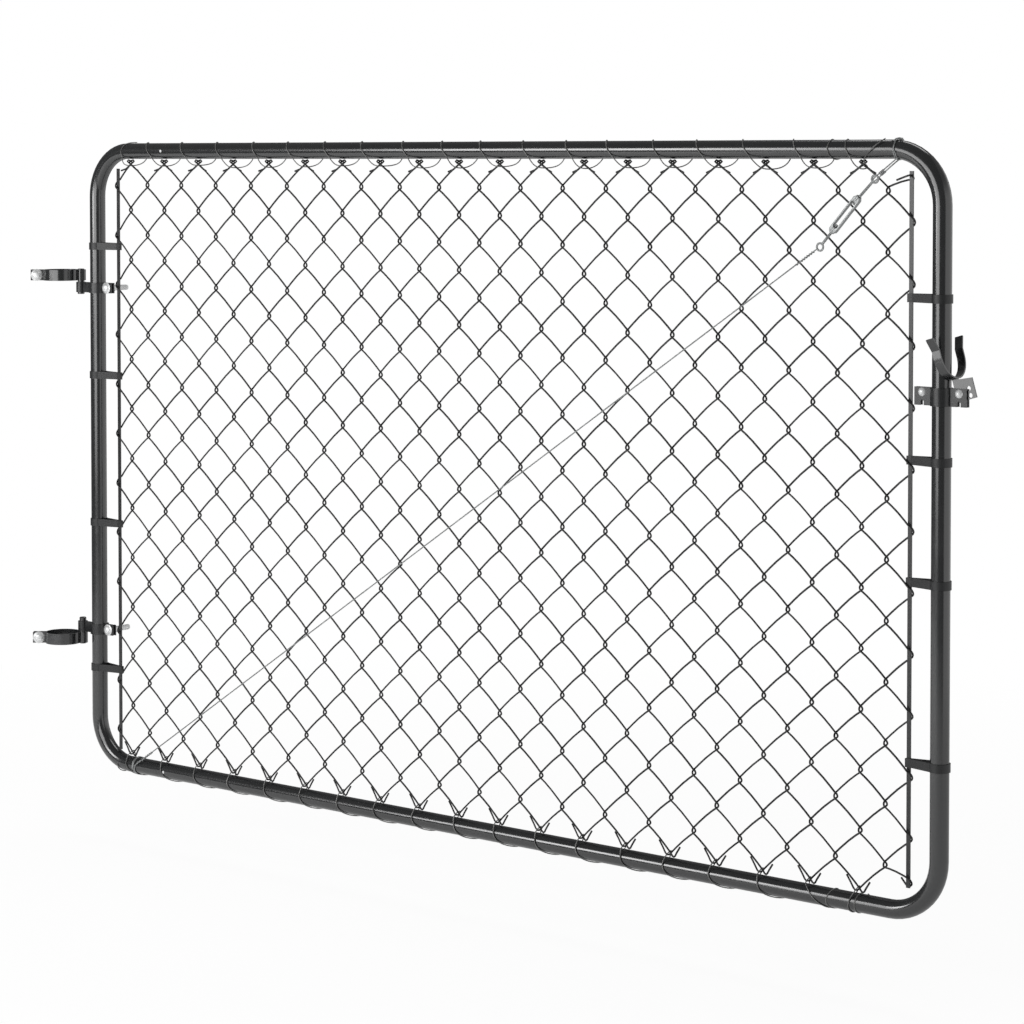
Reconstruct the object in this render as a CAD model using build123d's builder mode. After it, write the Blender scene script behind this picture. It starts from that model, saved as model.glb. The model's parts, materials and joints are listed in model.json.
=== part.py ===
from build123d import *
import os
from math import cos, hypot, radians, sin

os.makedirs("parts", exist_ok=True)

# Gate leaf, outside of tube to outside of tube
gate_width = 1829.0
gate_height = 1156.0
tube_od = 28.6
tube_wall = 1.5
bend_radius = 82.6
rail_joint_run = 163.5
joint_gap = 0.4
swage_length = 38.0
swage_clearance = 0.15
swage_wall = 1.5

# Posts that the fittings close on
post_od = 60.3
post_clearance = 0.1
open_angle = 39.2
lower_post_strap_up = 221.4
upper_post_strap_down = 229.5

# Post hinges: a strap round the post with the pin in its nose
post_strap_t = 2.6
post_strap_h = 20.0
pin_od = 12.7
pin_to_post = 0.4
pin_press = 0.02
post_ear_reach = 23.0
post_ear_gap = 6.0
post_bolt_out = 11.9
post_neck_gap = 7.0
pin_lower_tip = 7.0
pin_upper_tip = 3.4
pin_tail = 1.6

# Gate hinges: a strap round the upright with a barrel for the pin
gate_strap_t = 2.6
gate_strap_h = 19.0
pin_to_upright = 46.0
pin_running = 0.08
gate_ear_reach = 22.5
gate_ear_gap = 4.0
gate_bolt_out = 10.5
gate_neck_gap = 0.0
hinge_gap_lower = 1.5
hinge_gap_upper = 3.0
band_seat = 0.1

# Carriage bolts of the hinges
hinge_bolt_d = 9.5
hinge_bolt_l = 50.8
post_bolt_l = 38.0
hinge_head_d = 20.6
post_head_d = 22.0
hinge_head_h = 5.0
hinge_nut_af = 14.3
hinge_nut_h = 8.0
hole_clearance = 0.6
thread_clearance = 0.05

# Tension bars and the bands that tie them to the uprights
bar_w = 6.4
bar_t = 2.4
bar_inset_hinge = 55.8
bar_inset_latch = 52.5
bar_top_gap = 32.0
hinge_bar_bottom_gap = 24.0
latch_bar_bottom_gap = 36.0
band_t = 1.6
band_h = 13.0
bar_seat = 0.3
band_shoulder = 0.72
band_mouth = 0.66
hinge_band_drops = (175.0, 413.0)
hinge_band_rises = (441.4, 171.4)
latch_band_drops = (218.0, 457.0)
latch_band_rises = (490.4, 222.4)

# Chain link fabric
mesh_half_w = 43.74
mesh_half_h = 45.55
fabric_inset = 45.7
fabric_outset = 48.84
fabric_drop = 14.1
fabric_foot = 20.1
rail_seat = 0.9
wire_r = 2.2
wire_gap = 0.3
leg_offset = 3.8
knuckle_rise = 1.5
knuckle_crown = 3.3
top_tail = 27.0
bottom_tail = 20.0
tail_lean = 8.0
last_hook_top = 41.0
last_hook_bottom = 45.0
strip_count = 4

# Lacing wire round both rails
lace_r = 1.3
lace_seat = 0.3
lace_under = 10.0
lace_pass = 9.0
lace_stations = ((0.2, -1.14, -0.25), (0.4, -0.73, 1.02), (0.6, 0.73, 1.02), (0.8, 1.14, -0.25))
top_lace_start = 0
bottom_lace_start = 1

# Truss cable and turnbuckle
cable_r = 1.0
cable_seat = 0.3
loop_past_bend = 21.4
loop_into_bend = 3.6
link_l = 14.0
eye_run = 202.0
eye_drop = 146.0
buckle_low_gap = 26.0
buckle_l = 72.0
buckle_w = 13.0
buckle_bar = 2.6
buckle_boss = 9.0
hook_rod_d = 5.0
eye_r = 6.0
eye_rod = 1.7
eye_stem = 10.0

# Latch: a two piece clamp on the upright with a fork that drops over the post
latch_drop = 361.0
latch_h = 26.7
latch_t = 2.5
latch_seat = 0.1
latch_ear = 44.0
latch_bolt_out = 31.0
latch_bolt_up = 6.0
latch_bolt_d = 6.35
latch_head_d = 13.0
latch_head_h = 3.6
latch_nut_af = 11.1
latch_nut_h = 5.5
latch_bolt_l = 19.0
notch_w = 6.0
notch_h = 8.0
fork_plate_t = 2.5
fork_side_gap = 0.3
fork_lean = 16.5
fork_strap_w = 13.0
fork_strap_t = 2.6
fork_strap_shift = -3.0
fork_base = 22.0
fork_fit = 1.7
fork_straight = 11.0
fork_flare = 20.0
fork_flare_angle = 26.0
fork_plate_w = 26.0
fork_plate_low = 11.5
fork_plate_high = 21.0
fork_plate_back = 7.0
lock_hole_d = 7.0
lock_hole_out = 16.5
lock_hole_up = 4.2
lock_hole_down = 6.3

# Places worked out from the sizes above
tube_r = tube_od / 2
post_r = post_od / 2
pin_r = pin_od / 2
pin_distance = post_r + pin_to_post + pin_r
pin_x = pin_distance * cos(radians(open_angle))
gate_y = pin_distance * sin(radians(open_angle))
hinge_x = pin_x + pin_to_upright
latch_x = hinge_x + gate_width - tube_od
low_rail_z = -lower_post_strap_up
high_rail_z = low_rail_z + gate_height - tube_od
upper_post_z = high_rail_z - upper_post_strap_down
strap_half_heights = (post_strap_h + gate_strap_h) / 2
lower_hinge_z = hinge_gap_lower + strap_half_heights
upper_hinge_z = upper_post_z - hinge_gap_upper - strap_half_heights
hinge_bar_x = hinge_x + bar_inset_hinge
latch_bar_x = latch_x - bar_inset_latch
fabric_x = hinge_x + fabric_inset
fabric_z = high_rail_z - fabric_drop
fabric_width = latch_x - fabric_outset - fabric_x
fabric_height = fabric_z - fabric_foot - low_rail_z
picket_count = round(fabric_width / mesh_half_w)
cell_half_w = fabric_width / picket_count
leg_count = 2 * round(fabric_height / (2 * mesh_half_h))
cell_half_h = fabric_height / leg_count
last_lace_cell = (picket_count - 1) // 2 - 2
wire_to_bar = bar_w / 2 + wire_r + bar_seat
knuckle_reach = wire_r + wire_gap
end_leg_offset = bar_t / 2 + bar_seat + band_t + wire_r + 2 * wire_gap
top_knuckle_z = high_rail_z - tube_r - rail_seat - knuckle_rise - knuckle_crown
low_knuckle_z = fabric_z - leg_count * cell_half_h


def save(part, name):
    """Label a finished piece and write it under its own name."""
    part.label = name
    export_step(part, f"parts/{name}.step")


def tube_along(path_points, corner_radius, outer_d, inner_d):
    """A bent hollow tube whose centre line is a polyline with rounded corners."""
    start = Vector(*path_points[0])
    ahead = Vector(*path_points[1]) - start
    with BuildPart() as tube:
        with BuildLine():
            FilletPolyline(*path_points, radius=corner_radius)
        with BuildSketch(Plane(origin=start, z_dir=ahead)):
            Circle(outer_d / 2)
            Circle(inner_d / 2, mode=Mode.SUBTRACT)
        sweep()
    return tube.part


def frame_pieces():
    """Two U shaped tubes: the hinge side one has swaged ends inside the main one."""
    joint_x = hinge_x + rail_joint_run
    bore = tube_od - 2 * tube_wall
    hinge_side = tube_along(
        [
            (joint_x - joint_gap, gate_y, high_rail_z),
            (hinge_x, gate_y, high_rail_z),
            (hinge_x, gate_y, low_rail_z),
            (joint_x - joint_gap, gate_y, low_rail_z),
        ],
        bend_radius,
        tube_od,
        bore,
    )
    swage_r = bore / 2 - swage_clearance
    with BuildPart() as hinge_u:
        add(hinge_side)
        for rail_z in (low_rail_z, high_rail_z):
            start = Plane(origin=(joint_x - joint_gap, gate_y, rail_z), z_dir=(1, 0, 0))
            with BuildSketch(start.offset(-swage_wall)):
                Circle(tube_r - tube_wall / 2)
                Circle(swage_r - swage_wall, mode=Mode.SUBTRACT)
            extrude(amount=swage_wall)
            with BuildSketch(start):
                Circle(swage_r)
                Circle(swage_r - swage_wall, mode=Mode.SUBTRACT)
            extrude(amount=swage_length)
    save(hinge_u.part, "frame_hinge_side")
    main_u = tube_along(
        [
            (joint_x, gate_y, high_rail_z),
            (latch_x, gate_y, high_rail_z),
            (latch_x, gate_y, low_rail_z),
            (joint_x, gate_y, low_rail_z),
        ],
        bend_radius,
        tube_od,
        bore,
    )
    save(main_u, "frame_latch_side")


def eye_strap(
    tube_at, tube_radius, eye_at, eye_radius, neck_gap, thickness, height, mid_z, reach, gap, bolt_out
):
    """A strap bent round a tube and round a pin, with two bolt ears past the tube."""
    away = Vector(tube_at[0] - eye_at[0], tube_at[1] - eye_at[1], 0)
    distance = away.length
    ear_end = tube_radius + thickness + reach
    base = Plane(origin=(tube_at[0], tube_at[1], mid_z - height / 2), x_dir=away, z_dir=(0, 0, 1))
    bolt_point = Vector(tube_at[0], tube_at[1], mid_z) + away.normalized() * (
        tube_radius + thickness + bolt_out
    )
    across = Plane(origin=bolt_point, x_dir=away, z_dir=base.y_dir)
    with BuildPart() as strap:
        with BuildSketch(base):
            Circle(tube_radius + thickness)
            with Locations((-distance, 0)):
                Circle(eye_radius + thickness)
            with Locations((-distance / 2, 0)):
                Rectangle(distance, neck_gap + 2 * thickness)
            with Locations((ear_end / 2, 0)):
                Rectangle(ear_end, gap + 2 * thickness)
            Circle(tube_radius, mode=Mode.SUBTRACT)
            with Locations((-distance, 0)):
                Circle(eye_radius, mode=Mode.SUBTRACT)
            if neck_gap:
                with Locations((-distance / 2, 0)):
                    Rectangle(distance, neck_gap, mode=Mode.SUBTRACT)
            with Locations((ear_end / 2, 0)):
                Rectangle(ear_end, gap, mode=Mode.SUBTRACT)
        extrude(amount=height)
        with BuildSketch(across):
            Circle((hinge_bolt_d + hole_clearance) / 2)
        extrude(amount=height, both=True, mode=Mode.SUBTRACT)
    return strap.part, across


def carriage_bolt(seat, shank_d, length, head_d, head_h):
    """A domed bolt: the seat plane lies under its head and faces along the shank."""
    profile = Plane(origin=seat.origin, x_dir=seat.x_dir, z_dir=-seat.y_dir)
    with BuildPart() as bolt:
        with BuildSketch(profile):
            with BuildLine():
                Polyline((0, length), (shank_d / 2, length), (shank_d / 2, 0), (head_d / 2, 0))
                TangentArc((0, -head_h), (head_d / 2, 0), tangent=(1, 0))
                Line((0, -head_h), (0, length))
            make_face()
        revolve(axis=Axis(seat.origin, seat.z_dir))
    return bolt.part


def hex_nut(seat, across_flats, height, thread_d):
    """A plain six sided nut that stands on the seat plane."""
    with BuildPart() as nut:
        with BuildSketch(seat):
            RegularPolygon(radius=across_flats / 2, side_count=6, major_radius=False)
            Circle(thread_d / 2 + thread_clearance, mode=Mode.SUBTRACT)
        extrude(amount=height)
    return nut.part


def pin(centre, low_z, high_z):
    """A plain hinge pin with rounded ends."""
    with BuildPart() as rod:
        with BuildSketch(Plane(origin=(centre[0], centre[1], low_z))):
            Circle(pin_r - pin_press)
        extrude(amount=high_z - low_z)
        chamfer(rod.edges().filter_by(GeomType.CIRCLE), length=pin_tail / 2)
    return rod.part


def hinge_pieces():
    """Both hinges: post strap, pin, gate strap, carriage bolts and nuts."""
    pin_at = (pin_x, gate_y)
    levels = (
        ("lower", 0.0, lower_hinge_z, -post_strap_h / 2 - pin_tail,
         lower_hinge_z + gate_strap_h / 2 + pin_lower_tip),
        ("upper", upper_post_z, upper_hinge_z, upper_hinge_z - gate_strap_h / 2 - pin_upper_tip,
         upper_post_z + post_strap_h / 2 + pin_tail),
    )
    for level, post_z, gate_z, pin_low, pin_high in levels:
        strap, across = eye_strap(
            (0, 0), post_r + post_clearance, pin_at, pin_r, post_neck_gap, post_strap_t,
            post_strap_h, post_z, post_ear_reach, post_ear_gap, post_bolt_out,
        )
        save(strap, f"post_hinge_{level}")
        save(pin(pin_at, pin_low, pin_high), f"hinge_pin_{level}")
        bolt_and_nut(across, post_ear_gap, post_strap_t, post_bolt_l, post_head_d, f"post_bolt_{level}")
        strap, across = eye_strap(
            (hinge_x, gate_y), tube_r + band_seat, pin_at, pin_r + pin_running, gate_neck_gap,
            gate_strap_t, gate_strap_h, gate_z, gate_ear_reach, gate_ear_gap, gate_bolt_out,
        )
        save(strap, f"gate_hinge_{level}")
        bolt_and_nut(across, gate_ear_gap, gate_strap_t, hinge_bolt_l, hinge_head_d, f"gate_bolt_{level}")


def bolt_and_nut(across, gap, ear_t, length, head_d, name):
    """A carriage bolt through two ears, its head on the front and its nut behind."""
    toward_back = across.z_dir if across.z_dir.Y > 0 else -across.z_dir
    face = gap / 2 + ear_t
    seat = Plane(origin=across.origin - toward_back * face, x_dir=(0, 0, 1), z_dir=toward_back)
    save(carriage_bolt(seat, hinge_bolt_d, length, head_d, hinge_head_h), name)
    back = Plane(origin=across.origin + toward_back * face, x_dir=(0, 0, 1), z_dir=toward_back)
    save(hex_nut(back, hinge_nut_af, hinge_nut_h, hinge_bolt_d), name.replace("bolt", "nut"))


def tension_bar(bar_x, bottom_gap):
    """A flat bar threaded through the end loops of the fabric."""
    with BuildPart() as bar:
        with BuildSketch(Plane(origin=(bar_x, gate_y, low_rail_z + bottom_gap))):
            Rectangle(bar_w, bar_t)
        extrude(amount=high_rail_z - bar_top_gap - low_rail_z - bottom_gap)
    return bar.part


def tension_band(upright_x, bar_x, mid_z):
    """A thin strap that closes round the upright and round the bar."""
    side = 1 if bar_x > upright_x else -1
    inner_r = tube_r + band_seat
    bar_half = bar_t / 2 + bar_seat
    bar_end = abs(bar_x - upright_x) + bar_w / 2 + bar_seat
    level = Plane(origin=(upright_x, gate_y, mid_z - band_h / 2), x_dir=(side, 0, 0), z_dir=(0, 0, side))
    shoulder = inner_r * band_shoulder
    mouth = inner_r * band_mouth
    with BuildPart() as band:
        with BuildSketch(level):
            Circle(inner_r + band_t)
            Polygon(
                (shoulder, shoulder + band_t),
                (bar_end - bar_w, bar_half + band_t),
                (bar_end + band_t, bar_half + band_t),
                (bar_end + band_t, -bar_half - band_t),
                (bar_end - bar_w, -bar_half - band_t),
                (shoulder, -shoulder - band_t),
                align=None,
            )
            Circle(inner_r, mode=Mode.SUBTRACT)
            Polygon(
                (shoulder, mouth),
                (bar_end - bar_w, bar_half),
                (bar_end, bar_half),
                (bar_end, -bar_half),
                (bar_end - bar_w, -bar_half),
                (shoulder, -mouth),
                align=None,
                mode=Mode.SUBTRACT,
            )
        extrude(amount=band_h * side)
    return band.part


def tension_pieces():
    """A bar on each side with its bands."""
    save(tension_bar(hinge_bar_x, hinge_bar_bottom_gap), "tension_bar_hinge_side")
    save(tension_bar(latch_bar_x, latch_bar_bottom_gap), "tension_bar_latch_side")
    for side, upright_x, bar_x, drops, rises in (
        ("hinge", hinge_x, hinge_bar_x, hinge_band_drops, hinge_band_rises),
        ("latch", latch_x, latch_bar_x, latch_band_drops, latch_band_rises),
    ):
        levels = [high_rail_z - drop for drop in drops] + [low_rail_z + rise for rise in rises]
        for number, level in enumerate(levels, 1):
            save(tension_band(upright_x, bar_x, level), f"tension_band_{side}_{number}")


def picket_points(left_x, right_x, starts_right, left_layer, right_layer, top_z, bottom_z):
    """The line of one woven wire: legs in two layers, a crossover at each knuckle."""
    points = []
    tail_layer = leg_offset + 2 * wire_r + wire_gap
    for level in range(leg_count + 1):
        at_right = (level % 2 == 0) == starts_right
        x = right_x if at_right else left_x
        z = fabric_z - level * cell_half_h
        side = 1 if at_right else -1
        layer = right_layer if at_right else left_layer
        arrives = -side * layer
        leaves = side * layer
        if level == 0:
            z = top_z
            arrives = -side * tail_layer
        if level == leg_count:
            z = bottom_z
            leaves = side * tail_layer
        points.append((x, gate_y + arrives, z + knuckle_rise))
        points.append((x, gate_y + leaves, z - knuckle_rise))
    top, bottom = points[0], points[-1]
    inward = -1 if starts_right else 1
    leg_run = hypot(cell_half_w, cell_half_h)
    top_step = top_tail * cell_half_w / leg_run
    top_fall = top_tail * cell_half_h / leg_run
    points.insert(0, (top[0] + inward * top_step, top[1], top[2] - top_fall))
    points.append((bottom[0] - inward * tail_lean, bottom[1], bottom[2] + bottom_tail))
    return points


def bent_wire(points, radius, across):
    """A wire with a three sided section along straight runs."""
    start = Vector(*points[0])
    with BuildPart() as wire:
        with BuildLine():
            Polyline(*points)
        with BuildSketch(Plane(origin=start, x_dir=across, z_dir=Vector(*points[1]) - start)):
            RegularPolygon(radius=radius, side_count=3)
        sweep(transition=Transition.RIGHT)
    return wire.part


def picket(*shape):
    """One woven wire of the fabric."""
    return bent_wire(picket_points(*shape), wire_r, (0, 1, 0))


def fabric_pieces():
    """The woven fabric, in four strips of separate interlocked wires."""
    last = picket_count - 1
    column = [fabric_x + index * cell_half_w for index in range(picket_count + 1)]
    ends = (top_knuckle_z, low_knuckle_z)
    last_ends = (high_rail_z - last_hook_top, low_rail_z + last_hook_bottom)
    first_reach = (hinge_bar_x - wire_to_bar, column[1] + knuckle_reach)
    last_reach = (column[last] - knuckle_reach, latch_bar_x + wire_to_bar)
    shapes = {
        0: picket(*first_reach, True, end_leg_offset, leg_offset, *ends),
        last: picket(*last_reach, last % 2 == 0, leg_offset, end_leg_offset, *last_ends),
    }
    even_reach = (column[2] - knuckle_reach, column[3] + knuckle_reach)
    odd_reach = (column[1] - knuckle_reach, column[2] + knuckle_reach)
    even = picket(*even_reach, True, leg_offset, leg_offset, *ends)
    odd = picket(*odd_reach, False, leg_offset, leg_offset, *ends)
    strip_wires = -(-picket_count // strip_count)
    for number in range(1, strip_count + 1):
        first = (number - 1) * strip_wires
        end = min(first + strip_wires, picket_count)
        with BuildPart() as strip:
            for index in range(first, end):
                if index in shapes:
                    add(shapes[index])
                elif index % 2 == 0:
                    with Locations(((index - 2) * cell_half_w, 0, 0)):
                        add(even)
                else:
                    with Locations(((index - 1) * cell_half_w, 0, 0)):
                        add(odd)
        save(strip.part, f"chain_link_{number}")


def lacing(rail_z, knuckle_z, up, first_cell):
    """A thin wire wound round a rail, one turn a cell, through each knuckle."""
    side = tube_r + lace_r + lace_seat
    turn = 2 * cell_half_w
    points = []
    for cell in range(first_cell, last_lace_cell + 1):
        x = fabric_x + cell_half_w * (2 * cell + 1)
        points.append((x - lace_r, gate_y + lace_pass, knuckle_z - up * lace_under))
        points.append((x + lace_r, gate_y - lace_pass, knuckle_z - up * lace_under))
        for share, depth, rise in lace_stations:
            points.append((x + turn * share, gate_y + side * depth, rail_z + up * side * rise))
    points.append((x + turn - lace_r, gate_y + lace_pass, knuckle_z - up * lace_under))
    points.append((x + turn + lace_r, gate_y - lace_pass, knuckle_z - up * lace_under))
    return bent_wire(points, lace_r, (1, 0, 0))


def truss_pieces():
    """The corner to corner cable with its turnbuckle."""
    front_y = gate_y - tube_r - cable_r - cable_seat
    low = Vector(hinge_x + bend_radius + loop_past_bend, front_y, low_rail_z)
    high = Vector(latch_x - bend_radius + loop_into_bend, front_y, high_rail_z)
    eye = Vector(latch_x - eye_run, front_y, high_rail_z - eye_drop)
    ring_r = tube_r + cable_r + cable_seat
    for name, centre in (("cable_loop_lower", low), ("cable_loop_upper", high)):
        with BuildPart() as loop:
            with BuildSketch(Plane(origin=(centre.X, gate_y - ring_r, centre.Z), z_dir=(0, 0, 1))):
                RegularPolygon(radius=cable_r, side_count=6)
            revolve(axis=Axis((centre.X, gate_y, centre.Z), (1, 0, 0)))
        save(loop.part, name)
    run = (eye - low).normalized()
    meet = 2 * cable_r + 2 * cable_seat
    start = low + run * meet
    stop = eye - run * (eye_r + eye_rod)
    save(straight_rod(start, stop, cable_r, 6), "truss_cable")
    climb = (high - eye).normalized()
    body_low = eye + climb * buckle_low_gap
    body_high = body_low + climb * buckle_l
    along = Plane(origin=body_low, x_dir=(0, 1, 0), z_dir=climb)
    with BuildPart() as body:
        with BuildSketch(along):
            Rectangle(buckle_boss, buckle_w)
        extrude(amount=buckle_l)
        with BuildSketch(along.offset(buckle_boss)):
            Rectangle(buckle_boss, buckle_w - 2 * buckle_bar)
        extrude(amount=buckle_l - 2 * buckle_boss, mode=Mode.SUBTRACT)
        with BuildSketch(along):
            Circle(hook_rod_d / 2 + thread_clearance)
        extrude(amount=buckle_l, mode=Mode.SUBTRACT)
    save(body.part, "turnbuckle_body")
    save(eye_bolt(eye, climb, body_low + climb * (buckle_boss + eye_stem)), "turnbuckle_eye")
    top_eye = high - climb * (cable_r + eye_r + eye_rod + link_l)
    save(eye_bolt(top_eye, -climb, body_high - climb * (buckle_boss + eye_stem)), "turnbuckle_hook")
    link_low = top_eye + climb * (eye_r + eye_rod)
    link_high = high - climb * meet
    save(straight_rod(link_low, link_high, cable_r, 6), "cable_link_upper")


def straight_rod(start, stop, radius, sides):
    """A straight bar of a few sides between two points."""
    with BuildPart() as rod:
        with BuildSketch(Plane(origin=start, z_dir=stop - start)):
            RegularPolygon(radius=radius, side_count=sides)
        extrude(amount=(stop - start).length)
    return rod.part


def eye_bolt(centre, way, tip):
    """A rod that ends in a round eye, centred on the cable line."""
    ring_plane = Plane(origin=centre, x_dir=way, z_dir=(0, 1, 0))
    ring_section = Plane(origin=centre + way * eye_r, x_dir=way, z_dir=ring_plane.y_dir)
    with BuildPart() as bolt:
        with BuildSketch(ring_section):
            RegularPolygon(radius=eye_rod, side_count=6)
        revolve(axis=Axis(centre, (0, 1, 0)))
        with BuildSketch(Plane(origin=centre + way * eye_r, z_dir=way)):
            Circle(hook_rod_d / 2)
        extrude(amount=(tip - centre).length - eye_r)
    return bolt.part


def latch_half(front):
    """One half of the latch clamp, with a notched ear each side."""
    facing = -1 if front else 1
    inner_r = tube_r + latch_seat
    gap = fork_plate_t / 2 + fork_side_gap
    mid_z = high_rail_z - latch_drop
    level = Plane(origin=(latch_x, gate_y, mid_z - latch_h / 2))
    ear_y = facing * (gap + latch_t / 2)
    with BuildPart() as half:
        with BuildSketch(level):
            Circle(inner_r + latch_t)
            with Locations((0, -facing * (2 * inner_r - gap))):
                Rectangle(4 * inner_r, 4 * inner_r, mode=Mode.SUBTRACT)
            with Locations((0, ear_y)):
                Rectangle(2 * latch_ear, latch_t)
            Circle(inner_r, mode=Mode.SUBTRACT)
        extrude(amount=latch_h)
        with BuildSketch(Plane(origin=(latch_x, gate_y, mid_z), x_dir=(1, 0, 0), z_dir=(0, -1, 0))):
            for side in (-1, 1):
                with Locations((side * latch_bolt_out, latch_bolt_up)):
                    Circle((latch_bolt_d + hole_clearance) / 2)
                with Locations((side * latch_bolt_out, -latch_h / 2 + notch_h - notch_w / 2)):
                    Circle(notch_w / 2)
                with Locations((side * latch_bolt_out, -latch_h / 2 + (notch_h - notch_w / 2) / 2)):
                    Rectangle(notch_w, notch_h - notch_w / 2)
        extrude(amount=2 * tube_od, both=True, mode=Mode.SUBTRACT)
    return half.part


def fork():
    """A plate on the pivot bolt that carries a U shaped strap with flared ends."""
    pivot = Vector(latch_x + latch_bolt_out, gate_y, high_rail_z - latch_drop + latch_bolt_up)
    lean = radians(fork_lean)
    rise = Vector(-sin(lean), 0, cos(lean))
    out = Vector(cos(lean), 0, sin(lean))
    plate_plane = Plane(origin=pivot, x_dir=out, z_dir=(0, -1, 0))
    throat_r = (post_od + fork_fit) / 2
    bend_at = fork_base + fork_strap_t + throat_r
    arm_end = bend_at + fork_straight
    flare_y = fork_flare * sin(radians(fork_flare_angle))
    flare_z = fork_flare * cos(radians(fork_flare_angle))
    strap_edge = pivot + out * (fork_strap_shift - fork_strap_w / 2)
    strap_plane = Plane(origin=strap_edge, x_dir=(0, 1, 0), z_dir=out)
    up = strap_plane.y_dir.dot(rise)
    middle_r = throat_r + fork_strap_t / 2
    with BuildPart() as piece:
        with BuildSketch(strap_plane):
            with BuildLine() as line:
                Polyline(
                    (-middle_r - flare_y, up * (arm_end + flare_z)),
                    (-middle_r, up * arm_end),
                    (-middle_r, up * bend_at),
                )
                ThreePointArc(
                    (-middle_r, up * bend_at), (0, up * (bend_at - middle_r)), (middle_r, up * bend_at)
                )
                Polyline(
                    (middle_r, up * bend_at),
                    (middle_r, up * arm_end),
                    (middle_r + flare_y, up * (arm_end + flare_z)),
                )
            trace(line.line, line_width=fork_strap_t)
        extrude(amount=fork_strap_w)
        with BuildSketch(plate_plane.offset(-fork_plate_t / 2)):
            Polygon(
                (-fork_plate_back, -fork_plate_low),
                (fork_plate_w, -fork_plate_low),
                (fork_plate_w, fork_plate_high - fork_strap_t),
                (-fork_strap_shift, fork_plate_high),
                (-fork_strap_shift, fork_base + fork_strap_t / 2),
                (-fork_plate_back, fork_base + fork_strap_t / 2),
                align=None,
            )
            Circle(latch_bolt_d / 2 + pin_running, mode=Mode.SUBTRACT)
            with Locations((lock_hole_out, lock_hole_up), (lock_hole_out, -lock_hole_down)):
                Circle(lock_hole_d / 2, mode=Mode.SUBTRACT)
        extrude(amount=fork_plate_t)
    return piece.part


def latch_pieces():
    """The clamp halves, their two bolts with nuts, and the fork."""
    save(latch_half(True), "latch_clamp_front")
    save(latch_half(False), "latch_clamp_rear")
    face = fork_plate_t / 2 + fork_side_gap + latch_t
    bolt_z = high_rail_z - latch_drop + latch_bolt_up
    for name, side in (("inner", -1), ("pivot", 1)):
        x = latch_x + side * latch_bolt_out
        seat = Plane(origin=(x, gate_y - face, bolt_z), x_dir=(0, 0, 1), z_dir=(0, 1, 0))
        save(carriage_bolt(seat, latch_bolt_d, latch_bolt_l, latch_head_d, latch_head_h), f"latch_bolt_{name}")
        back = Plane(origin=(x, gate_y + face, bolt_z), x_dir=(0, 0, 1), z_dir=(0, 1, 0))
        save(hex_nut(back, latch_nut_af, latch_nut_h, latch_bolt_d), f"latch_nut_{name}")
    save(fork(), "latch_fork")


frame_pieces()
hinge_pieces()
tension_pieces()
fabric_pieces()
save(lacing(high_rail_z, top_knuckle_z, 1, top_lace_start), "lacing_wire_top")
save(lacing(low_rail_z, low_knuckle_z, -1, bottom_lace_start), "lacing_wire_bottom")
truss_pieces()
latch_pieces()
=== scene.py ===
import json
import random
from collections import namedtuple
from math import cos, pi, radians, sin

import bmesh
import bpy
from bpy.props import FloatProperty, FloatVectorProperty, IntProperty, PointerProperty
from mathutils import Matrix, Vector


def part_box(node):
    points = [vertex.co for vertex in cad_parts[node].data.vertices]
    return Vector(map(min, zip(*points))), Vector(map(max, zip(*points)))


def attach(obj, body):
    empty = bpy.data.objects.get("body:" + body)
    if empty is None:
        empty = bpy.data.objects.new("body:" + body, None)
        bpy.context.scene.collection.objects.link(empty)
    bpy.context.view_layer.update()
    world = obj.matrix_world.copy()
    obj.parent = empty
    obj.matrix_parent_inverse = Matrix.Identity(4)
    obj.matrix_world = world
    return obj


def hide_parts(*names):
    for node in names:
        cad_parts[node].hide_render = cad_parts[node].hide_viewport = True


bl_info = {
    "name": "Chain link gate",
    "version": (1, 0, 0),
    "blender": (4, 5, 0),
    "location": "View3D > Sidebar > Gate",
    "description": "Dresses a tube frame gate with woven wire, lacing, brace cable and fittings",
    "category": "Add Mesh",
}

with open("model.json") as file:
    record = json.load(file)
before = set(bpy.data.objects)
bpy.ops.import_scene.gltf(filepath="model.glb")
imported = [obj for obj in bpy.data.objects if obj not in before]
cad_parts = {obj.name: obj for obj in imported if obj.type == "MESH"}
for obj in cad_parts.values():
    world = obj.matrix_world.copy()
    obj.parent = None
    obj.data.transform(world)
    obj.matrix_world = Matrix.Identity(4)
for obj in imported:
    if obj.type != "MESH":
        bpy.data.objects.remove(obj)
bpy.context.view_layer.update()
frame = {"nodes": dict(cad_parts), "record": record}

MM = 0.001

# Places read from the frame's own pieces
hinge_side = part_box("frame_hinge_side")
latch_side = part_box("frame_latch_side")
gate_y = (hinge_side[0][1] + hinge_side[1][1]) / 2
tube_r = (hinge_side[1][1] - hinge_side[0][1]) / 2
hinge_x = hinge_side[0][0] + tube_r
latch_x = latch_side[1][0] - tube_r
low_rail_z = hinge_side[0][2] + tube_r
high_rail_z = hinge_side[1][2] - tube_r
hinge_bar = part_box("tension_bar_hinge_side")
latch_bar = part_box("tension_bar_latch_side")
hinge_bar_x = (hinge_bar[0][0] + hinge_bar[1][0]) / 2
latch_bar_x = (latch_bar[0][0] + latch_bar[1][0]) / 2
bar_half_w = (hinge_bar[1][0] - hinge_bar[0][0]) / 2

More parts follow.
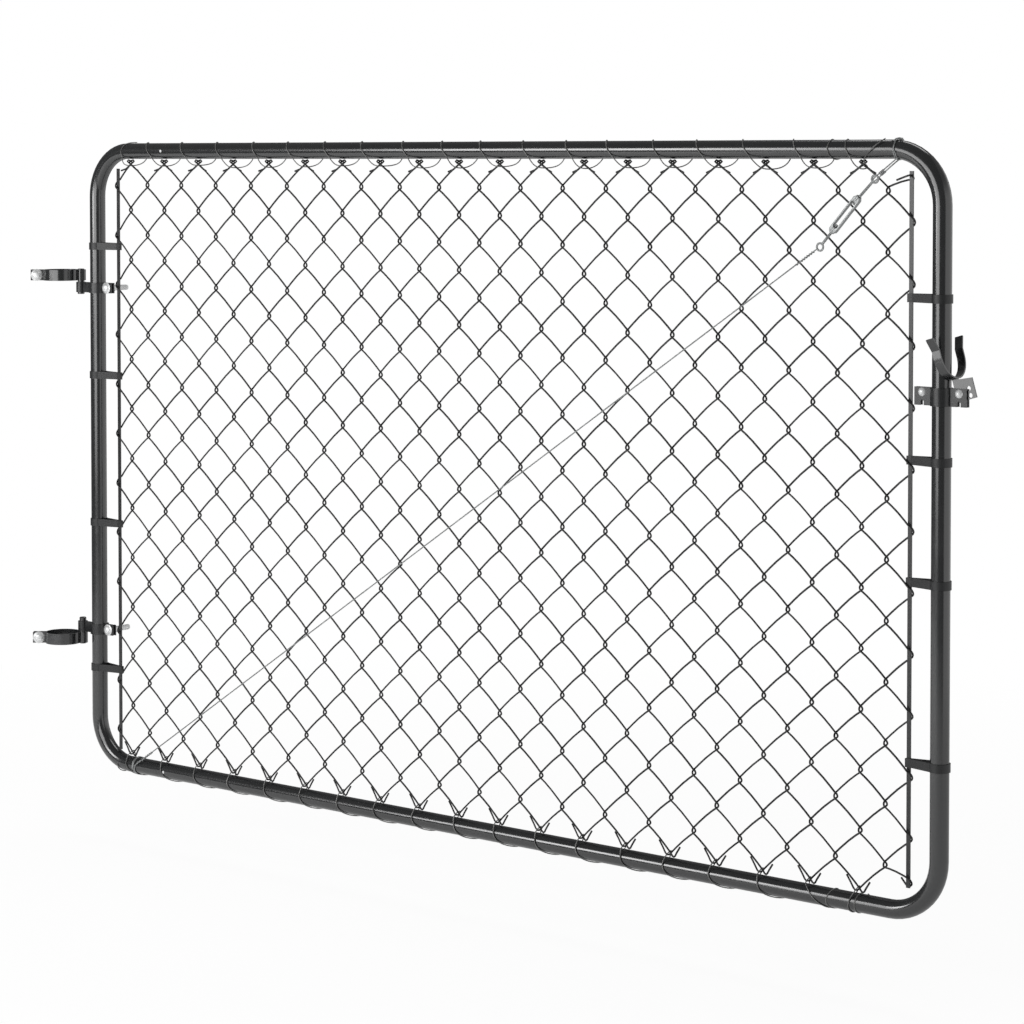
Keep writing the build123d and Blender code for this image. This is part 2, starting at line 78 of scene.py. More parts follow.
# Cut ends of the woven wires: run to the side and rise, in millimetres from where the end starts
TOP_TAIL_TIP = (26.0, -19.5)
TOP_TAIL = ((18.5, -16.0), (10.5, -10.6), (4.0, -6.0), (0.3, -4.2), (-2.4, -2.2))
TOP_TAIL_AT_BAR = ((23.0, -7.5), (12.0, -3.6), (4.0, -1.0))
TAIL_SPRING = 6.0
BOTTOM_TAIL_RIGHT = ((2.0, -2.6), (4.4, -5.6), (7.0, -6.6), (9.4, -5.0), (12.5, 0.6), (19.0, 10.5))
BOTTOM_TAIL_LEFT = ((2.0, -2.6), (6.0, -5.8), (10.5, -6.4), (13.5, -3.5), (18.0, 4.0), (25.5, 15.0))
BOTTOM_TAIL_AT_BAR = ((3.0, -2.0), (8.0, 3.0), (15.0, 11.0))

# Windings of the lacing wires on a rail: angle round it in degrees and run along it in millimetres
Winding = namedtuple("Winding", "start turn extra_turn end")
TOP_WINDING = Winding(
    start=((165, 13), (190, 3), (225, -7), (270, -10), (310, -10)),
    turn=((85, 38), (120, 40), (150, 44), (180, 49), (225, 55), (270, 62), (310, 69)),
    extra_turn=(
        (85, 31), (130, 32), (180, 36), (225, 36), (270, 35), (315, 38), (360, 42), (405, 48), (450, 54),
        (495, 58), (540, 63), (585, 65), (630, 68), (670, 73),
    ),
    end=((318, 9), (290, 18), (262, 27), (235, 36), (205, 43)),
)
BOTTOM_WINDING = Winding(
    start=((20, -26), (80, -29), (130, -27), (180, -22), (235, -14), (290, -7)),
    turn=((60, -4), (90, -2), (125, 4), (155, 16), (180, 31), (215, 46), (250, 58), (290, 71)),
    extra_turn=(
        (60, 2), (100, 12), (140, 26), (180, 36), (235, 40), (290, 42), (340, 42), (390, 40), (440, 34),
        (490, 34), (540, 42), (590, 52), (640, 64),
    ),
    end=(
        (60, -9), (100, -12), (140, -12), (180, -9), (235, -6), (290, -3), (345, 0), (400, 1), (450, -1),
        (500, -1), (550, 2), (610, 6), (670, 10), (715, 13), (735, 17),
    ),
)

# The two cut ends of the cable's knot on the top rail, in millimetres from the rail's top
KNOT_ENDS = (
    ((-8, -5, -2.2), (-2, -1, 0.8), (5, 2, 1.6), (9, -2, 1.2), (5, -5, 0.4)),
    ((-7, 3, 0.6), (0, 2, 2.2), (6, -3, 1.6), (12, -5, -0.6)),
)

# Bolts, in millimetres: the thread is the length past the nut, the grip is what the bolt clamps
Bolt = namedtuple("Bolt", "nut_height thread radius pitch grip head_radius head_height")
POST_BOLT = Bolt(8.0, 18.8, 4.75, 1.6, 11.2, 10.4, 5.2)
GATE_BOLT = Bolt(8.0, 33.6, 4.75, 1.6, 9.2, 10.4, 5.2)
LATCH_BOLT = Bolt(5.5, 5.3, 3.175, 1.27, 5.6, 6.7, 3.9)

# The stage, in metres and degrees: a round floor, three lamps and the photograph's viewpoint
FLOOR_MIDDLE = Vector((1.0, 0.0, low_rail_z - tube_r - 120 * MM))
FLOOR_RADIUS = 3.2
Lamp = namedtuple("Lamp", "name place width height power aim_z")
LAMPS = (
    Lamp("front_left", (-1.35, -3.2, 1.25), 1.5, 1.3, 52.0, 1.25),
    Lamp("front_right", (0.5, -3.2, 0.95), 2.2, 1.9, 42.0, 0.95),
    Lamp("top", (0.97, 1.6, 3.4), 2.4, 0.8, 18.0, 0.35),
)
CAMERA_PLACE = (4.07494, -3.64445, 0.89114)
CAMERA_DOWN = 2.1324
CAMERA_TURN = 39.377
CAMERA_LENS = 102.276
CAMERA_SHIFT_Y = -0.2387


def linear(hex_colour):
    """An sRGB hex colour as the linear red, green and blue that Blender works in."""
    value = hex_colour.lstrip("#")
    channels = [int(value[start:start + 2], 16) / 255 for start in (0, 2, 4)]
    return tuple(c / 12.92 if c <= 0.04045 else ((c + 0.055) / 1.055) ** 2.4 for c in channels)


def length_property(name, description, millimetres):
    """A length a user can change, given in millimetres and kept in metres."""
    return FloatProperty(
        name=name, description=description, default=millimetres * MM, unit="LENGTH", subtype="DISTANCE",
        precision=5,
    )


def colour_property(name, description, hex_colour):
    """A colour a user can change."""
    return FloatVectorProperty(
        name=name, description=description, default=linear(hex_colour), subtype="COLOR", size=3,
        min=0.0, max=1.0,
    )


class GateSizes(bpy.types.PropertyGroup):
    """Sizes of the wires and fittings that dress the frame."""

    wire: length_property("Fabric wire", "Radius of the woven wire over its coating", 1.55)
    half_width: length_property("Half mesh width", "Distance between two columns of knuckles", 43.74)
    half_height: length_property("Half mesh height", "Distance between two rows of knuckles", 45.55)
    inset: length_property("Fabric inset", "First knuckle column from the hinge upright", 45.7)
    drop: length_property("Fabric drop", "Top knuckle row below the top rail", 14.1)
    layer: length_property("Leg layer", "How far the legs lie in front of and behind the middle", 2.7)
    knuckle_reach: length_property("Knuckle reach", "How far a bend passes the column line", 2.7)
    knuckle_half: length_property("Knuckle half height", "Knuckle's middle to where its wires cross", 4.6)
    bow: length_property("Leg bow", "How far a leg bends out of straight", 1.5)
    lacing: length_property("Lacing wire", "Radius of the wire wound round the rails", 0.95)
    loop: length_property("Loop wire", "Radius of the cable where it loops round a rail", 1.05)
    strand: length_property("Cable strand", "Radius of one of the seven strands of the brace cable", 0.38)
    strand_lay: length_property("Strand lay", "Length in which a strand goes once round", 15.0)
    tie: length_property("Cable tail", "Radius of the tail that is wound round the cable", 0.6)
    wires: IntProperty(name="Fabric wires", description="How many woven wires there are", default=39, min=3)
    legs: IntProperty(name="Legs", description="How many straight legs each wire has", default=24, min=2)


class GateColours(bpy.types.PropertyGroup):
    """Colours of the gate's finishes."""

    powder: colour_property("Powder coat", "Powder coat of the tube, the straps and the bands", "#161718")
    coating: colour_property("Wire coating", "Extruded coating of the woven wire", "#08090a")
    tie_wire: colour_property("Tie wire", "Dull steel of the lacing wire", "#7c7c7b")
    zinc: colour_property("Zinc plate", "Bright zinc of the bolts and nuts", "#e8e9e9")
    galvanised: colour_property("Galvanised steel", "Hot dipped cable, eyes and turnbuckle", "#a3a5a5")
    floor: colour_property("Floor", "Pale studio floor", "#f6f6f6")


# Materials


def new_material(name):
    """An empty node material and its tree."""
    material = bpy.data.materials.new(name)
    material.use_nodes = True
    material.node_tree.nodes.clear()
    return material, material.node_tree


def add_node(tree, kind, inputs=None, **settings):
    """Add a node, set its options, and give each named input a value or a link."""
    node = tree.nodes.new(kind)
    for option, value in settings.items():
        setattr(node, option, value)
    for socket, value in (inputs or {}).items():
        if isinstance(value, bpy.types.NodeSocket):
            tree.links.new(value, node.inputs[socket])
        else:
            node.inputs[socket].default_value = value
    return node


def surface_ramp(tree, factor, low, high, dark, light):
    """A colour that goes from dark to light between two values of a pattern."""
    ramp = add_node(tree, "ShaderNodeValToRGB", {"Fac": factor})
    ramp.color_ramp.elements[0].position = low
    ramp.color_ramp.elements[0].color = (*dark, 1.0)
    ramp.color_ramp.elements[1].position = high
    ramp.color_ramp.elements[1].color = (*light, 1.0)
    return ramp.outputs["Color"]


def shade(colour, share):
    """A colour made darker or lighter by a share."""
    return tuple(min(1.0, channel * share) for channel in colour)


def noise(tree, size_mm, detail=2.0, stretch=(1.0, 1.0, 1.0)):
    """A noise pattern whose features are about the given size in millimetres."""
    place = add_node(tree, "ShaderNodeTexCoord").outputs["Object"]
    mapped = add_node(tree, "ShaderNodeMapping", {"Vector": place, "Scale": stretch})
    pattern = add_node(
        tree, "ShaderNodeTexNoise",
        {"Vector": mapped.outputs["Vector"], "Scale": 1.0 / (size_mm * MM), "Detail": detail},
    )
    return pattern.outputs["Fac"]


def finish_surface(tree, shader):
    """Send a shader to the material's surface."""
    add_node(tree, "ShaderNodeOutputMaterial", {"Surface": shader})


def powder_coat(colours, name="glossy_black_powder_coat_on_tube", roughness_low=0.15, gloss=1.0):
    """Powder coated steel: sprayed and baked, with an orange peel that softens its shine."""
    material, tree = new_material(name)
    # Real peel is 2 to 3 mm across, too fine to show here, so it is drawn 6 mm across
    peel = noise(tree, 6.0, 2.0)
    dust = noise(tree, 60.0, 4.0, (0.3, 1.0, 1.0))
    colour = surface_ramp(tree, dust, 0.35, 0.75, colours.powder, shade(colours.powder, 1.35))
    roughness = add_node(
        tree, "ShaderNodeMapRange",
        {
            "Value": dust, "From Min": 0.3, "From Max": 0.7,
            "To Min": roughness_low, "To Max": roughness_low + 0.06,
        },
    )
    bump = add_node(tree, "ShaderNodeBump", {"Height": peel, "Strength": 0.02, "Distance": 0.04 * MM})
    shader = add_node(
        tree, "ShaderNodeBsdfPrincipled",
        {
            "Base Color": colour,
            "Roughness": roughness.outputs["Result"],
            "Normal": bump.outputs["Normal"],
            "IOR": 1.5,
            "Specular IOR Level": gloss,
        },
    )
    finish_surface(tree, shader.outputs["BSDF"])
    return material


def band_coat(colours):
    """The same coat on pressed bands: duller, because the strip under it is rougher than the tube."""
    return powder_coat(colours, "dull_black_powder_coat_on_pressed_bands", 0.42, 0.5)


def strap_coat(colours):
    """The same coat on bent straps and flat bars: half dull, so that a flat side shows a soft sheen."""
    return powder_coat(colours, "satin_black_powder_coat_on_straps", 0.3, 0.6)


def wire_coating(colours):
    """Polymer coated wire: extruded over the steel, smooth, a little duller where it was bent."""
    material, tree = new_material("extruded_black_polymer_on_wire")
    scuff = noise(tree, 7.0, 3.0)
    colour = surface_ramp(tree, scuff, 0.4, 0.8, colours.coating, shade(colours.coating, 2.0))
    bump = add_node(tree, "ShaderNodeBump", {"Height": scuff, "Strength": 0.15, "Distance": 0.1 * MM})
    shader = add_node(
        tree, "ShaderNodeBsdfPrincipled",
        {"Base Color": colour, "Roughness": 0.42, "Normal": bump.outputs["Normal"], "IOR": 1.5},
    )
    finish_surface(tree, shader.outputs["BSDF"])
    return material


def drawn_wire(colours):
    """Soft tie wire: drawn through a die, dull, with darker runs along it where it has weathered."""
    material, tree = new_material("dull_drawn_tie_wire")
    runs = noise(tree, 11.0, 3.0)
    colour = surface_ramp(tree, runs, 0.35, 0.65, shade(colours.tie_wire, 0.45), colours.tie_wire)
    shader = add_node(
        tree, "ShaderNodeBsdfPrincipled", {"Base Color": colour, "Metallic": 0.6, "Roughness": 0.42}
    )
    finish_surface(tree, shader.outputs["BSDF"])
    return material


def zinc_plate(colours):
    """Bright zinc plate: electroplated, near white, with faint cloudy patches and tool marks."""
    material, tree = new_material("bright_zinc_plate")
    cloud = noise(tree, 5.0, 3.0)
    colour = surface_ramp(tree, cloud, 0.3, 0.7, shade(colours.zinc, 0.72), colours.zinc)
    roughness = add_node(
        tree, "ShaderNodeMapRange",
        {"Value": cloud, "From Min": 0.3, "From Max": 0.7, "To Min": 0.5, "To Max": 0.38},
    )
    bump = add_node(tree, "ShaderNodeBump", {"Height": cloud, "Strength": 0.04, "Distance": 0.06 * MM})
    shader = add_node(
        tree, "ShaderNodeBsdfPrincipled",
        {
            "Base Color": colour,
            "Metallic": 0.6,
            "Roughness": roughness.outputs["Result"],
            "Normal": bump.outputs["Normal"],
        },
    )
    finish_surface(tree, shader.outputs["BSDF"])
    return material


def galvanised_steel(colours):
    """Galvanised steel: dipped in zinc, grey and mottled, with spangle cells of 2.5 mm."""
    material, tree = new_material("hot_dip_galvanised_steel")
    place = add_node(tree, "ShaderNodeTexCoord").outputs["Object"]
    spangle = add_node(tree, "ShaderNodeTexVoronoi", {"Vector": place, "Scale": 1.0 / (2.5 * MM)})
    grain = noise(tree, 1.2, 2.0)
    colour = surface_ramp(
        tree, spangle.outputs["Distance"], 0.1, 0.75, shade(colours.galvanised, 0.7), colours.galvanised
    )
    bump = add_node(tree, "ShaderNodeBump", {"Height": grain, "Strength": 0.2, "Distance": 0.12 * MM})
    shader = add_node(
        tree, "ShaderNodeBsdfPrincipled",
        {"Base Color": colour, "Metallic": 0.9, "Roughness": 0.5, "Normal": bump.outputs["Normal"]},
    )
    finish_surface(tree, shader.outputs["BSDF"])
    return material


def finish_named(name):
    """One of the gate's finishes, made on its first use."""
    makers = {
        "black_powder_coat": powder_coat,
        "band_coat": band_coat,
        "strap_coat": strap_coat,
        "black_coated_wire": wire_coating,
        "lacing_wire": drawn_wire,
        "zinc_plate": zinc_plate,
        "galvanised_steel": galvanised_steel,
    }
    if name not in finishes:
        finishes[name] = makers[name](bpy.context.scene.gate_colours)
    return finishes[name]


finishes = {}


# Pieces


def place_piece(obj, body, slot, replaced=()):
    """Give a finished piece its finish, its body and the nodes it stands for."""
    if obj.name not in bpy.context.scene.collection.objects:
        bpy.context.scene.collection.objects.link(obj)
    obj.data.materials.append(finish_named(slot))
    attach(obj, body)
    if replaced:
        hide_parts(*replaced)
    return obj


def wire_piece(name, runs, radius, sides=1, smooth=False):
    """A wire of round section along one or more runs of points."""
    curve = bpy.data.curves.new(name, "CURVE")
    curve.dimensions = "3D"
    curve.bevel_depth = radius
    curve.bevel_resolution = sides
    curve.use_fill_caps = True
    curve.resolution_u = 4
    for run in runs:
        spline = curve.splines.new("NURBS" if smooth else "POLY")
        spline.points.add(len(run) - 1)
        for point, place in zip(spline.points, run):
            point.co = (*place, 1.0)
        if smooth:
            spline.order_u = 3
            spline.use_endpoint_u = True
        spline.use_smooth = True
    return bpy.data.objects.new(name, curve)


def mesh_piece(name, shape, smooth_angle=35):
    """An object from a bmesh, merged, facing outwards, with sharp edges kept."""
    bmesh.ops.remove_doubles(shape, verts=shape.verts, dist=0.005 * MM)
    bmesh.ops.recalc_face_normals(shape, faces=shape.faces)
    mesh = bpy.data.meshes.new(name)
    shape.to_mesh(mesh)
    shape.free()
    mesh.shade_smooth()
    mesh.set_sharp_from_angle(angle=radians(smooth_angle))
    return bpy.data.objects.new(name, mesh)


def column_x(index, sizes):
    """The x of a knuckle column."""
    return hinge_x + sizes.inset + index * sizes.half_width


def bend_points(x, z, side, reach, half, arrive, leave, steps=7):
    """Points round one bend: out to the side and from one layer to the other."""
    spread = radians(60)
    points = []
    for step in range(steps):
        angle = spread - 2 * spread * step / (steps - 1)
        out = reach * (cos(angle) - cos(spread)) / (1 - cos(spread))
        layer = arrive if angle > 0 else leave
        depth = -side * layer * sin(angle) / sin(spread)
        points.append(Vector((x + side * out, gate_y + depth, z + half * sin(angle) / sin(spread))))
    return points


def leg_points(start, end, bow):
    """Points along a leg between two bends, flatter at its top end and steeper at its foot."""
    run = end - start
    outward = Vector((abs(run.z) * (1 if run.x > 0 else -1), 0, abs(run.x))).normalized()
    stations = ((0.22, 0.75), (0.5, 1.0), (0.8, 0.55))
    return [start + run * share + outward * bow * lift for share, lift in stations]


def woven_wire(index, sizes):
    """The line of one woven wire from its top tail to its bottom tail."""
    starts_right = index % 2 == 0
    last = index == sizes.wires - 1
    clear_bar = bar_half_w + sizes.wire + 0.9 * MM
    at_bar = 4.8 * MM
    tail_layer = sizes.layer + 2 * sizes.wire + 0.3 * MM
    top_z = high_rail_z - tube_r - 5.0 * MM
    bottom_z = low_rail_z + tube_r + 9.6 * MM
    line = []
    for level in range(sizes.legs + 1):
        at_right = (level % 2 == 0) == starts_right
        side = 1 if at_right else -1
        x = column_x(index + 1 if at_right else index, sizes)
        z = high_rail_z - sizes.drop - level * sizes.half_height
        reach, half = sizes.knuckle_reach, sizes.knuckle_half
        arrive = leave = sizes.layer
        on_bar = (index == 0 and not at_right) or (last and at_right)
        if on_bar:
            x = hinge_bar_x if index == 0 else latch_bar_x
            reach, half = clear_bar, 7.5 * MM
            arrive = leave = at_bar
        if level == 0:
            z, half, reach, arrive = top_z, 3.0 * MM, 2.3 * MM, tail_layer
            if on_bar:
                z, arrive = high_rail_z - 41.0 * MM, at_bar
        if level == sizes.legs and on_bar:
            z, leave = low_rail_z + 45.0 * MM, at_bar
        elif level == sizes.legs:
            crossing = Vector((x, gate_y - side * sizes.layer, bottom_z))
            line.extend(leg_points(line[-1], crossing, sizes.bow))
            line.extend(bottom_tail(crossing, side))
            return line
        bend = bend_points(x, z, side, reach, half, arrive, leave)
        if level == 0:
            line.extend(top_tail(bend[0], side, index, sizes))
        else:
            line.extend(leg_points(line[-1], bend[0], sizes.bow))
        line.extend(bend)
    line.extend(tail_points(line[-1], -side, BOTTOM_TAIL_AT_BAR))
    return line


def tail_points(start, side, stations):
    """Points of a cut wire end from its stations."""
    return [start + Vector((side * run * MM, 0, rise * MM)) for run, rise in stations]


def top_tail(knuckle, side, index, sizes):
    """The cut end of a pigtail loop: it comes down along the other wire's leg, and on the hinge side
    of a knuckle its tip springs away from that leg."""
    if index == sizes.wires - 1:
        return tail_points(knuckle, -side, TOP_TAIL_AT_BAR)
    spring = TAIL_SPRING * (1 - index / sizes.wires) if side < 0 else 0.0
    tip_run, tip_rise = TOP_TAIL_TIP
    return tail_points(knuckle, side, ((tip_run + spring, tip_rise), *TOP_TAIL))


def bottom_tail(crossing, side):
    """The cut end below a crossing: on to the far side, round a U and up, longer on the left."""
    stations = BOTTOM_TAIL_LEFT if side < 0 else BOTTOM_TAIL_RIGHT
    return [crossing, *tail_points(crossing, side, stations)]


class GATE_OT_fabric(bpy.types.Operator):
    """Weave the wire fabric between the tension bars"""

    bl_idname = "gate.fabric"
    bl_label = "Woven fabric"

    def execute(self, context):
        sizes = context.scene.gate_sizes
        groups = ((0, 10), (10, 20), (20, 30), (30, sizes.wires))
        for number, (first, end) in enumerate(groups, 1):
            runs = [woven_wire(index, sizes) for index in range(first, end)]
            piece = wire_piece(f"woven_wires_{number}", runs, sizes.wire)
            place_piece(piece, "gate", "black_coated_wire", [f"chain_link_{number}"])
        return {"FINISHED"}


def round_rail(x, angle, rail_z, up, seat):
    """A point on a wire that lies on a rail; the angle starts at the fabric and goes to the back first
    on the top rail and to the front first on the low rail."""
    place = radians(angle)
    corner = seat / cos(radians(17.5))
    return Vector((x, gate_y + up * corner * sin(place), rail_z - up * corner * cos(place)))


def top_pass(x, knuckle_z, slack, shift):
    """Points of the top wire where it goes through a knuckle from the front to the back."""
    below = knuckle_z - 3.0 * MM - slack
    return [
        Vector((x - 9 * MM, gate_y - 11.0 * MM, knuckle_z - 2.5 * MM)),
        Vector((x + 2 * MM, gate_y - 8.5 * MM, below)),
        Vector((x + 17 * MM + shift, gate_y + 8 * MM, below + 1.0 * MM)),
        Vector((x + 31 * MM + shift, gate_y + 12.5 * MM, knuckle_z + 1 * MM)),
    ]


def top_end(x, knuckle_z, slack):
    """The same pass at the last knuckle, after which the wire turns back up to the rail."""
    below = knuckle_z - 3.0 * MM - slack
    return [
        Vector((x - 9 * MM, gate_y - 11.0 * MM, knuckle_z - 2.5 * MM)),
        Vector((x + 2 * MM, gate_y - 8.5 * MM, below)),
        Vector((x + 9 * MM, gate_y + 2 * MM, below + 3.0 * MM)),
        Vector((x + 7 * MM, gate_y - 10.0 * MM, knuckle_z + 1.0 * MM)),
    ]


def bottom_pass(x, knuckle_z):
    """Points of the bottom wire where it goes through a knuckle from the back to the front."""
    return [
        Vector((x - 7 * MM, gate_y + 9.5 * MM, knuckle_z - 1 * MM)),
        Vector((x - 3 * MM, gate_y + 5.0 * MM, knuckle_z + 4.6 * MM)),
        Vector((x - 1 * MM, gate_y - 6.5 * MM, knuckle_z + 3.0 * MM)),
        Vector((x - 4 * MM, gate_y - 10.5 * MM, knuckle_z - 3.0 * MM)),
    ]


def wound_line(rail_z, up, cells, sizes, seed):
    """The line of a wire wound round a rail by hand, once a mesh cell, through each knuckle."""
    chance = random.Random(seed)
    seat = tube_r + sizes.lacing + 0.2 * MM
    seat_over = seat + 1.2 * MM
    knuckle_z = rail_z - up * (tube_r + 6.5 * MM)
    winding = TOP_WINDING if up > 0 else BOTTOM_WINDING
    first, last = cells

    def on_rail(x, stations, out):
        return [round_rail(x + run * MM, angle, rail_z, up, out) for angle, run in stations]

    line = on_rail(column_x(2 * first + 1, sizes), winding.start, seat)
    for cell in range(first, last + 1):
        x = column_x(2 * cell + 1, sizes)
        slack = chance.uniform(2.0, 7.0) * MM
        shift = chance.uniform(-8.0, 6.0) * MM
        if cell == last:
            line.extend(top_end(x, knuckle_z, slack) if up > 0 else bottom_pass(x, knuckle_z))
            line.extend(on_rail(x, winding.end, seat_over if up > 0 else seat))
        else:
            line.extend(top_pass(x, knuckle_z, slack, shift) if up > 0 else bottom_pass(x, knuckle_z))
            turn = winding.extra_turn if cell == last - 1 else winding.turn
            line.extend(on_rail(x + shift * 0.5, turn, seat))
    return line


class GATE_OT_lacing(bpy.types.Operator):
    """Wind the lacing wires round both rails"""

    bl_idname = "gate.lacing"
    bl_label = "Lacing wires"

    def execute(self, context):
        sizes = context.scene.gate_sizes
        for name, rail_z, up, cells, seed in (
            ("lacing_top", high_rail_z, 1, (0, 18), 4),
            ("lacing_bottom", low_rail_z, -1, (0, 18), 9),
        ):
            line = wound_line(rail_z, up, cells, sizes, seed)
            piece = wire_piece(name, [line], sizes.lacing, smooth=True)
            place_piece(piece, "gate", "lacing_wire", [name.replace("lacing_", "lacing_wire_")])
        return {"FINISHED"}


def helix_points(start, end, radius, lay, phase, steps_per_turn=8):
    """Points of a helix round a straight line between two places."""
    run = end - start
    along = run.normalized()
    across = along.cross(Vector((0, 1, 0))).normalized()
    over = along.cross(across)
    count = max(2, int(run.length / lay * steps_per_turn))
    points = []
    for step in range(count + 1):
        share = step / count
        angle = phase + 2 * pi * share * run.length / lay
        points.append(start + run * share + (across * cos(angle) + over * sin(angle)) * radius)
    return points


def box_middle(node):
    """The middle of a node's box."""
    low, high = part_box(node)
    return (Vector(low) + Vector(high)) / 2


def truss_places():
    """The ends of the brace: the lower loop, the lower eye, the upper loop."""
    low = box_middle("cable_loop_lower")
    high = box_middle("cable_loop_upper")
    front_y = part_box("cable_loop_lower")[0][1] + 1.0 * MM
    low.y = high.y = front_y
    low.z, high.z = low_rail_z, high_rail_z
    eye_low, eye_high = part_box("truss_cable")
    eye = Vector((eye_high[0], front_y, eye_high[2]))
    return low, eye, high


class GATE_OT_cable(bpy.types.Operator):
    """Run the stranded brace cable from the lower loop to the turnbuckle"""

    bl_idname = "gate.cable"
    bl_label = "Brace cable"

    def execute(self, context):
        sizes = context.scene.gate_sizes
        low, stop, high = truss_places()
        along = (stop - low).normalized()
        start = low + along * 3.0 * MM
        lay_radius = 2 * sizes.strand
        runs = [[start, stop]]
        for strand in range(6):
            runs.append(helix_points(start, stop, lay_radius, sizes.strand_lay, strand * pi / 3))
        cable = wire_piece("brace_cable", runs, sizes.strand, sides=0)
        place_piece(cable, "gate", "galvanised_steel", ["truss_cable"])
        tail_radius = 3 * sizes.strand + sizes.tie
        tails = [
            helix_points(start + along * 22 * MM, start + along * 58 * MM, tail_radius, 5.5 * MM, 0.0),
            helix_points(stop - along * 44 * MM, stop - along * 6 * MM, tail_radius, 5.0 * MM, 1.0),
        ]
        tail = wire_piece("cable_tails", tails, sizes.tie)
        place_piece(tail, "gate", "galvanised_steel")
        return {"FINISHED"}


def ring_line(centre, radius, drift, turns=1.0, start=0.0, steps=12):
    """Points round a rail: turns of a ring that drifts along it, from the front over the top."""
    corner = radius / cos(pi / steps)
    points = []
    for step in range(int(steps * turns) + 1):
        angle = start + 2 * pi * step / steps
        points.append(
            centre + Vector((drift * step / steps, -corner * cos(angle), corner * sin(angle)))
        )
    return points


class GATE_OT_loops(bpy.types.Operator):
    """Loop the brace cable round both rails"""

    bl_idname = "gate.loops"
    bl_label = "Cable loops"

    def execute(self, context):
        sizes = context.scene.gate_sizes
        low, _, high = truss_places()
        eye, _ = buckle_line()
        radius = tube_r + sizes.loop + 0.15 * MM
        low_mid = Vector((low.x, gate_y, low.z))
        lower = ring_line(low_mid + Vector((-2.5 * MM, 0, 0)), radius, 2.6 * MM, 2.0, -0.3)
        lower.append(low + Vector((7 * MM, 0.5 * MM, 7 * MM)))
        lower.append(low + Vector((19 * MM, 0.5 * MM, 13.5 * MM)))
        piece = wire_piece("lower_cable_loop", [lower], sizes.loop, smooth=True)
        place_piece(piece, "gate", "galvanised_steel", ["cable_loop_lower"])
        high_mid = Vector((high.x + 2 * MM, gate_y, high.z))
        ring = ring_line(high_mid, radius, 2.6 * MM, 1.9, 0.9)
        place_piece(
            wire_piece("upper_cable_loop", [ring, *self.knot(high_mid, radius)], sizes.loop, smooth=True),
            "gate", "galvanised_steel", ["cable_loop_upper"],
        )
        hook = hook_place(eye)
        top = high_mid + Vector((5 * MM, -8 * MM, -radius + 1 * MM))
        run = (top - hook).normalized()
        across = run.cross(Vector((0, 1, 0))).normalized() * 1.5 * MM
        bend = hook - run * 1.5 * MM
        link = [
            top + run * 2 * MM + across, hook + run * 8 * MM + across * 1.4, bend + across * 1.6,
            bend - run * 3.4 * MM, bend - across * 1.6, hook + run * 8 * MM - across * 1.4, top - across,
            top + run * 8 * MM + Vector((0, 9 * MM, 0)),
        ]
        wraps = helix_points(hook + run * 11 * MM, hook + run * 19 * MM, 2.9 * MM, 2.3 * MM, 0.4)
        place_piece(
            wire_piece("upper_link", [link, wraps], sizes.loop, smooth=True),
            "gate", "galvanised_steel", ["cable_link_upper"],
        )
        return {"FINISHED"}

    def knot(self, middle, radius):
        """The two cut ends that are turned over each other on top of the rail."""
        top = middle + Vector((3 * MM, -3 * MM, radius - 1.0 * MM))
        return [[top + Vector(place) * MM for place in end] for end in KNOT_ENDS]


def buckle_line():
    """The lower eye's centre and the direction in which the turnbuckle climbs."""
    ring_out = 7.7 * MM
    low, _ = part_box("turnbuckle_eye")
    _, _, high = truss_places()
    eye = Vector((low[0] + ring_out, high.y, low[2] + ring_out))
    return eye, Vector((0.671, 0.0, 0.741)).normalized()


def hook_place(eye):
    """The centre of the upper eye, where the link to the top rail starts."""
    return eye + Vector((96.0 * MM, 0.0, 102.0 * MM))


def lay_along(shape, origin, along, up):
    """Move a shape drawn along X, with Z up, so that it runs along a direction at a place."""
    side = up.cross(along).normalized()
    over = along.cross(side).normalized()
    turn = Matrix((along, side, over)).transposed().to_4x4()
    bmesh.ops.transform(shape, matrix=Matrix.Translation(origin) @ turn, verts=shape.verts)


def stadium(shape, length, width, height):
    """A flat ring of vertices with round ends, as a closed loop of edges."""
    made = bmesh.ops.create_circle(shape, segments=24, radius=width / 2)
    for vert in made["verts"]:
        vert.co.x += (length - width) / 2 * (1 if vert.co.x > 0 else -1)
        vert.co.z = height
    return list({edge for vert in made["verts"] for edge in vert.link_edges})


def threaded_rod(shape, start, along, length, radius, pitch):
    """A screw thread: a small ridge spun round the rod and moved on by one pitch a turn."""
    across = along.orthogonal().normalized()
    steps_a_turn = 12
    ridge = [
        shape.verts.new(start + across * (radius - 0.1 * MM)),
        shape.verts.new(start + across * (radius + 0.22 * pitch) + along * pitch * 0.4),
        shape.verts.new(start + across * (radius - 0.1 * MM) + along * pitch * 0.8),
    ]
    edges = [shape.edges.new(ridge[:2]), shape.edges.new(ridge[1:])]
    turns = (length - pitch) / pitch
    bmesh.ops.spin(
        shape, geom=ridge + edges, cent=start, axis=along, dvec=along * pitch / steps_a_turn,
        angle=2 * pi * turns, steps=int(turns * steps_a_turn), use_merge=False,
    )


def round_bar(shape, start, along, length, radius, segments=16, chamfer=0.0):
    """A round bar along a direction, with chamfered ends if asked."""
    turn = along.to_track_quat("Z", "Y").to_matrix().to_4x4()
    made = bmesh.ops.create_cone(
        shape, cap_ends=True, segments=segments, radius1=radius, radius2=radius, depth=length,
        matrix=Matrix.Translation(start + along * length / 2) @ turn,
    )
    if chamfer:
        edges = {edge for vert in made["verts"] for edge in vert.link_edges}
        caps = [edge for edge in edges if any(len(face.verts) > 4 for face in edge.link_faces)]
        bmesh.ops.bevel(
            shape, geom=caps, offset=chamfer, segments=2, affect="EDGES", profile=0.5, material=-1
        )


